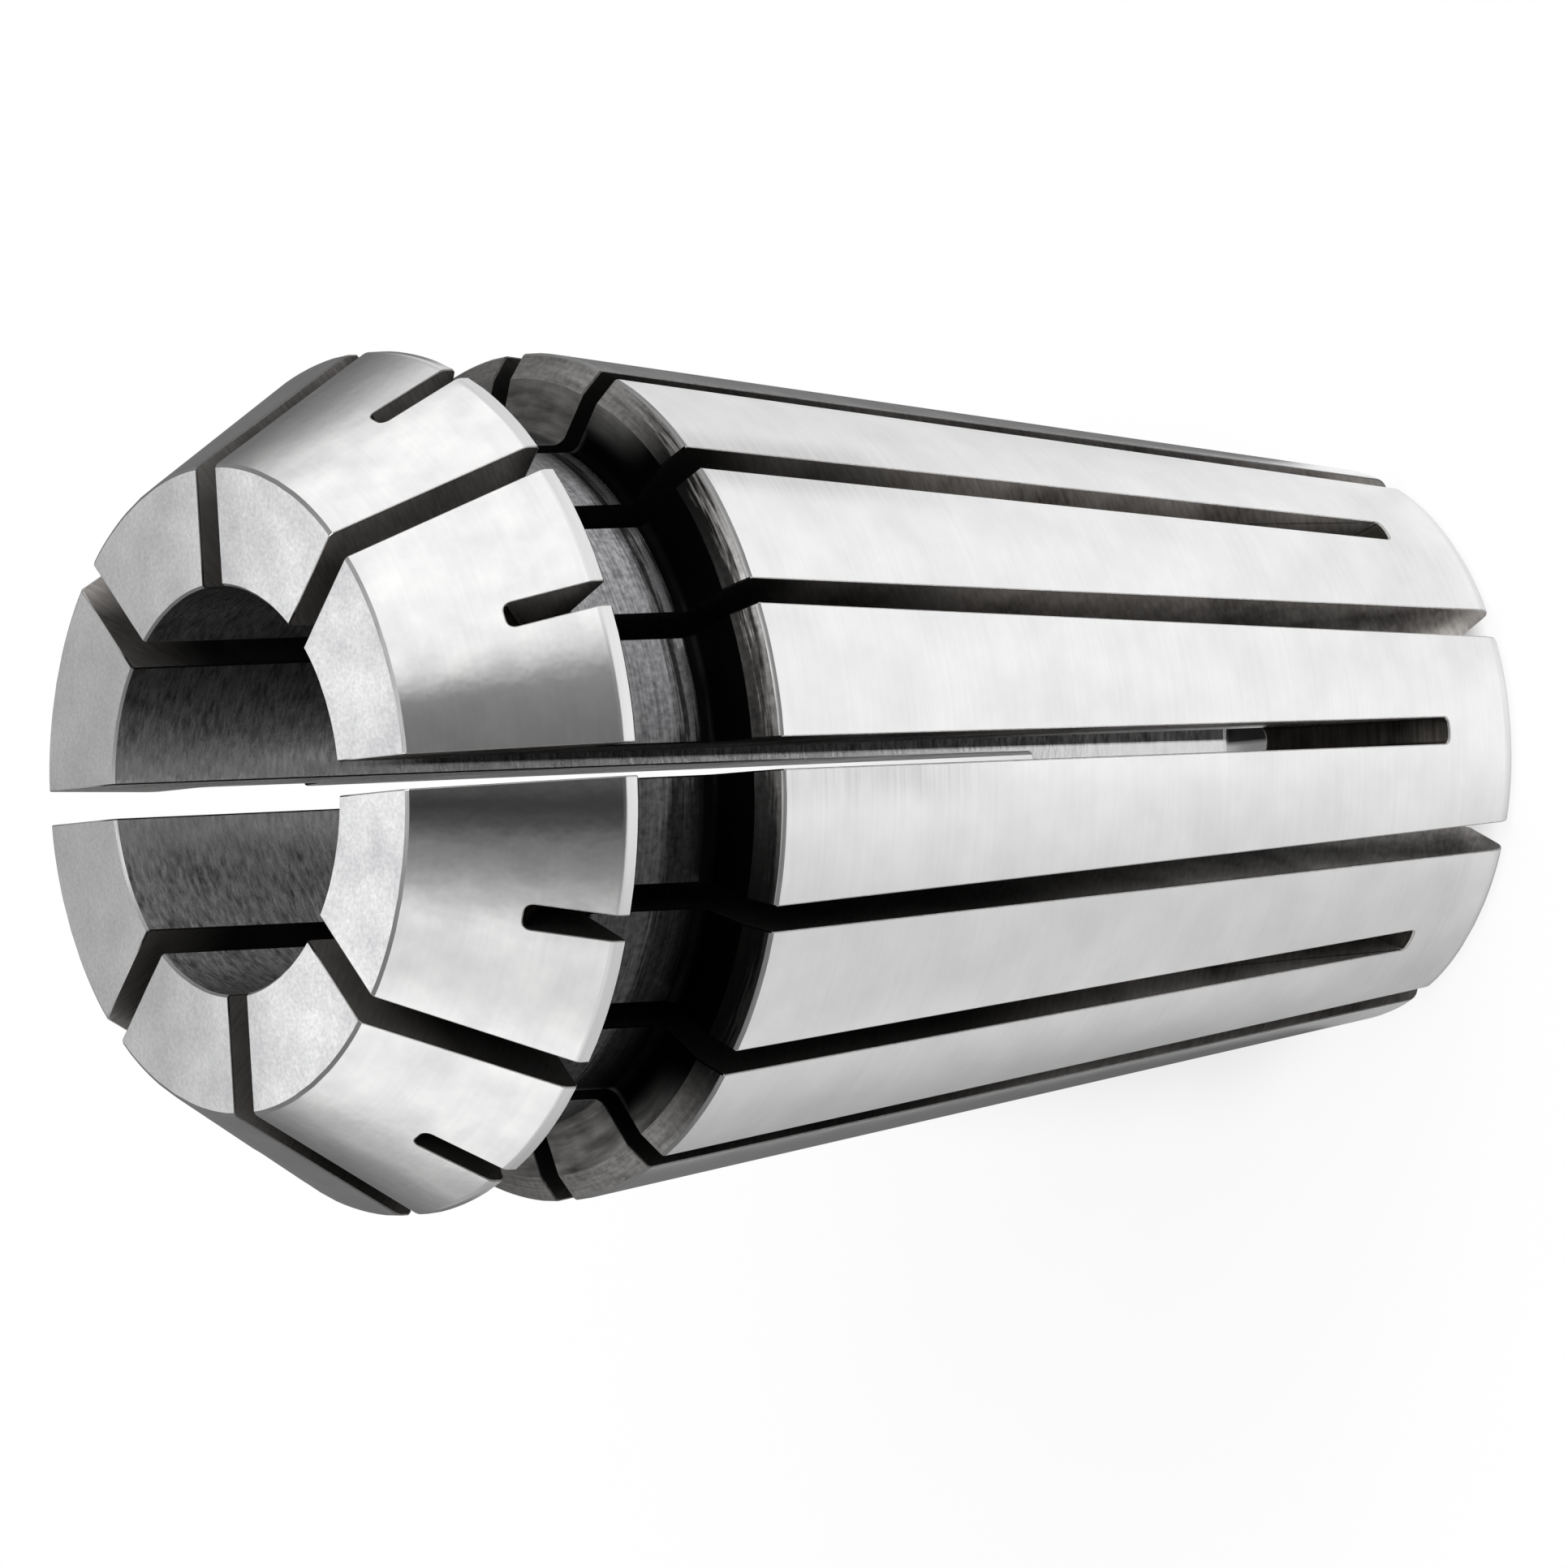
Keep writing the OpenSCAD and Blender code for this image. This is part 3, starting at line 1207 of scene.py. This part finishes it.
def as_object(
    name: str, mesh: bmesh.types.BMesh, materials: list[bpy.types.Material]
) -> bpy.types.Object:
    """Makes an object of a bmesh and frees the bmesh.

    Args:
        name: Name of the object and its mesh.
        mesh: The mesh.
        materials: Its materials, in slot order.

    Returns:
        The object, linked to the scene.
    """
    shape = bpy.data.meshes.new(name)
    for material in materials:
        shape.materials.append(material)
    mesh.to_mesh(shape)
    mesh.free()
    return placed(name, shape)


def placed(name: str, data: bpy.types.ID) -> bpy.types.Object:
    """Makes an object of a mesh, lamp or camera and links it to the scene."""
    made = bpy.data.objects.new(name, data)
    bpy.context.scene.collection.objects.link(made)
    return made


@dataclass(frozen=True)
class PaleFloor:
    """The pale floor, which the camera sees as white with a soft shadow of the collet.

    The steel mirrors it darker near the foot, and with soft grey cards beside the collet.

    Attributes:
        radius: Its radius in metres.
        tone: Its own tone under the lamp.
        tone_in_bore: The same under the upper half of the bore, where it is painted dark as painted
            shade.
        fade: Between which distances in millimetres the shadow fades.
        seen_near: How white it is seen near the foot.
        seen_in_bore: The same through the lower half of the bore.
        seen_in_painted_shade: The same through its upper half, where the camera sees the floor's
            painted shade.
        seen_behind: The same where the collet hides the lamp.
        mirrored_near: How white it is mirrored near the foot.
        mirrored_lighter: The same on its lighter side.
        mirrored_contact: The same at the rear edge.
        mirrored_in_bore: The same in the bore, where the floor under the collet glows as painted
            light for the bore to mirror.
        card_tone: Tone of the cards.
        card_behind: How dense they are on the far side.
        card_above: How dense they are on the upper side.
        card_foot: The same at the foot.
        card_below: How dense they are on the lower side, from its near to its far end.
        card_slope: How steeply the edge of the far cards runs.
        card_start: How far in front of the axis that edge starts, in millimetres.
    """

    radius: float = 4.0
    tone: float = 0.86
    tone_in_bore: float = 0.06
    fade: Point = (20.0, 120.0)
    seen_near: float = 0.9
    seen_in_bore: float = 0.68
    seen_in_painted_shade: float = 0.02
    seen_behind: float = 0.15
    mirrored_near: float = 0.15
    mirrored_lighter: float = 0.6
    mirrored_contact: float = 0.58
    mirrored_in_bore: float = 0.95
    card_tone: float = 0.1
    card_behind: float = 0.92
    card_above: float = 0.22
    card_foot: float = 0.13
    card_below: Levels = (
        (-1.0, 0.02), (-0.97, 0.12), (-0.92, 0.19), (-0.8, 0.31), (-0.7, 0.34), (-0.45, 0.34),
        (-0.2, 0.3), (0.0, 0.37), (0.3, 0.52), (0.6, 0.62),
    )
    card_slope: float = 1.29
    card_start: float = 8.8

    def material(self) -> bpy.types.Material:
        """Builds the material, which answers each kind of ray in its own way."""
        made = bpy.data.materials.new("pale_floor")
        made.use_nodes = True
        sheet = Sheet(made.node_tree)
        place = sheet.outputs("ShaderNodeTexCoord")["Object"]
        x, y, _ = (part * TO_MM for part in sheet.parts(place))
        away = sheet.length(x, y)
        rays = sheet.outputs("ShaderNodeLightPath")
        seen = (rays["Is Camera Ray"] | rays["Is Transmission Ray"]) * self.seen(sheet, x, y, away)
        mirrored = rays["Is Glossy Ray"] * self.mirrored(x, y, away)
        cards = rays["Is Glossy Ray"] * self.cards(x, y, away)
        # Under the upper half of the bore the floor is painted dark: painted shade, seen through
        # the slots.
        under = x.spread(0.2, 0.3, self.tone, self.tone_in_bore)
        tone = away.spread(4.2, 4.4, under, self.tone)
        surface = sheet.fill(
            sheet.own("BSDF_PRINCIPLED"), Base_Color=sheet.joined(tone, tone, tone), Roughness=0.9,
            Specular_IOR_Level=0.0,
        )
        for share, level in ((seen | mirrored, 1.0), (cards, self.card_tone)):
            plain = sheet.signal("ShaderNodeEmission", (level, level, level, 1.0))
            surface = sheet.signal("ShaderNodeMixShader", share, surface, plain)
        sheet.fill(sheet.own("OUTPUT_MATERIAL"), Surface=surface)
        return made

    def seen(self, sheet: Sheet, x: Signal, y: Signal, away: Signal) -> Signal:
        """How white the camera sees it, at a place and distance in millimetres."""
        # Through the upper half of the bore the camera sees the floor's painted shade.
        painted_shade_under_bore = x.spread(0.2, 0.3, self.seen_in_bore, self.seen_in_painted_shade)
        under = away.spread(4.3, 5.2, painted_shade_under_bore, 1.0)
        off_shadow = sheet.length(x, y - y.spread(6.0, 17.5, 6.0, 17.5))
        behind = off_shadow.ease(2.5, 8.0, self.seen_behind, 1.0)
        return away.ease(*self.fade, self.seen_near, 1.0) * under * behind

    def mirrored(self, x: Signal, y: Signal, away: Signal) -> Signal:
        """How white the steel mirrors it, at a place and distance in millimetres."""
        upward, rearward = x / (away | 1.0), y / (away | 1.0)
        lighter = upward.ease(-0.1, 0.3) * rearward.spread(-0.2, -0.5)
        lighter = lighter * away.spread(7.0, 13.0, 0.3, 1.0)
        near = lighter.between(self.mirrored_near, self.mirrored_lighter)
        contact = upward.ease(0.1, -0.6, 1.0, 0.3) * upward.spread(0.3, 0.7, 1.0, 0.6)
        contact = contact * away.ease(9.0, 14.0, self.mirrored_contact, 0.0)
        # Inside the ring, under the collet, the floor glows nearly white for the bore to mirror:
        # painted light.
        in_bore = away.spread(4.5, 5.1, self.mirrored_in_bore, 0.0)
        return away.ease(*self.fade, near, 1.0) | contact | in_bore

    def cards(self, x: Signal, y: Signal, away: Signal) -> Signal:
        """How dense the grey cards are, at a place and distance in millimetres."""
        upward, rearward = x / (away | 1.0), y / (away | 1.0)
        past_edge = y - abs(x) * self.card_slope + self.card_start
        near = past_edge.ease(-1.5, 2.5, 0.0, self.card_behind) * rearward.spread(0.0, 0.25)
        far = rearward.ease(cosine(70), cosine(36), 0.0, self.card_behind) * away.ease(30.0, 90.0)
        behind = (near | far) * abs(x).ease(1.2, 3.0)
        foot = away.spread(12.0, 7.0, 0.0, self.card_foot) * upward.spread(0.2, 0.7)
        above = rearward.spread(-0.6, 0.3, 0.0, self.card_above) | foot
        beside = x.ease(1.5, -2.5).between(above, rearward.stops(self.card_below))
        outside = away.spread(4.8, 6.5) * away.spread(200.0, 1000.0, 1.0, 0.5)
        return (behind | beside) * outside

    def build(self) -> bpy.types.Object:
        """Builds the floor."""
        mesh = bmesh.new()
        bmesh.ops.create_circle(mesh, cap_ends=True, segments=96, radius=self.radius)
        return as_object("floor", mesh, [self.material()])


@dataclass(frozen=True)
class WhiteRoom:
    """The plain room, which the camera sees as white and the steel as darker on some sides.

    Attributes:
        low_level: How bright it is near the floor.
        high_level: How bright it is overhead.
        window_gain: How much brighter its high far side is towards the lower side.
        far_shade: How much its far side is darkened.
        low_shade: How much its lower side is darkened.
        near_tones: Tone behind the camera, from the lower to the upper side.
    """

    low_level: float = 1.1
    high_level: float = 0.15
    window_gain: float = 1.2
    far_shade: float = 0.65
    low_shade: float = 0.1
    near_tones: Levels = (
        (-0.98, 0.86), (-0.9, 0.74), (-0.8, 0.76), (-0.725, 0.82), (-0.66, 0.66), (-0.59, 0.47),
        (-0.53, 0.36), (-0.457, 0.25), (-0.37, 0.2), (-0.263, 0.075), (-0.165, 0.035),
        (-0.06, 0.08), (0.03, 0.15), (0.13, 0.175), (0.27, 0.195), (0.36, 0.21), (0.43, 0.25),
        (0.49, 0.5), (0.55, 0.76), (0.63, 0.92), (0.72, 1.0),
    )

    def build(self) -> None:
        """Makes the room the scene's world."""
        world = bpy.data.worlds.new("white_room")
        bpy.context.scene.world = world
        world.use_nodes = True
        sheet = Sheet(world.node_tree)
        x, y, z = sheet.parts(sheet.outputs("ShaderNodeTexCoord")["Generated"])
        flat = sheet.length(x, y) | 0.001
        upward, nearness = x / flat, y * -1.0 / flat
        near_side = nearness.ease(0.1, 0.4) * z.ease(sine(58), sine(42))
        near_side = near_side * (1.0 - upward.stops(self.near_tones))
        back = nearness.ease(cosine(105), cosine(150))
        far_side = back * z.ease(sine(46), sine(14)) * self.far_shade
        low_side = upward.ease(-0.8, -0.95) * nearness.spread(0.2, 0.0) * self.low_shade
        walls = (1.0 - near_side) * (1.0 - far_side) * (1.0 - low_side)
        walls = walls * z.ease(sine(24), sine(42), self.low_level, self.high_level)
        window = back * z.ease(sine(22), sine(40)) * z.ease(sine(72), sine(56), 0.0, self.low_level)
        window = window * x.spread(0.0, -0.25, 1.0, self.window_gain)
        seen = sheet.outputs("ShaderNodeLightPath")["Is Camera Ray"]
        white = (1.0, 1.0, 1.0, 1.0)
        sheet.fill(sheet.own("BACKGROUND"), Color=white, Strength=walls | window | seen)


@dataclass(frozen=True)
class Studio:
    """Floor, room, lamp and camera.

    Attributes:
        floor: The floor.
        room: The room.
        lamp_place: Place of the lamp in metres.
        lamp_aim: The point that it faces, in metres.
        lamp_size: Its side in metres.
        lamp_power: Its power in watts.
        camera_place: Place of the camera in millimetres.
        camera_turn: Its turns about X, Y and Z in degrees.
        lens: Its focal length in millimetres.
        sensor: Width of its sensor in millimetres.
        shift: How far its lens is shifted across and up.
    """

    floor: PaleFloor = field(default_factory=PaleFloor)
    room: WhiteRoom = field(default_factory=WhiteRoom)
    lamp_place: Triple = (0.15, -0.215, 0.495)
    lamp_aim: Triple = (0.0, 0.0, 0.014)
    lamp_size: float = 0.36
    lamp_power: float = 3.0
    camera_place: Triple = (-10.191, -296.105, 221.855)
    camera_turn: Triple = (-3.42384, 54.94115, -96.06658)
    lens: float = 416.37
    sensor: float = 36.0
    shift: Point = (0.00857, 0.00392)

    def lamp(self) -> None:
        """Hangs the square soft lamp that faces the collet."""
        data = bpy.data.lights.new("key_lamp", "AREA")
        data.shape = "SQUARE"
        data.size = self.lamp_size
        data.energy = self.lamp_power
        made = placed("key_lamp", data)
        made.location = self.lamp_place
        aim = Vector(self.lamp_aim) - Vector(self.lamp_place)
        made.rotation_euler = aim.to_track_quat("-Z", "Y").to_euler()

    def camera(self) -> None:
        """Sets the camera at the photograph's angle."""
        data = bpy.data.cameras.new("camera")
        data.sensor_width = self.sensor
        data.lens = self.lens
        data.shift_x, data.shift_y = self.shift
        made = placed("camera", data)
        made.location = [MM * each for each in self.camera_place]
        made.rotation_euler = [math.radians(each) for each in self.camera_turn]
        bpy.context.scene.camera = made

    def build(self) -> None:
        """Builds the whole studio."""
        self.floor.build()
        self.room.build()
        self.lamp()
        self.camera()
        bpy.context.scene.view_settings.view_transform = "Standard"


def main() -> None:
    """Builds the scene piece by piece."""
    logging.basicConfig(level=logging.INFO, format="%(message)s")
    Studio().build()
    LOG.info("studio built")
    collet = Collet().build()
    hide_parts("collet")
    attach(collet, "root")
    LOG.info("collet built: %d faces", len(collet.data.polygons))


if __name__ == "__main__":
    main()
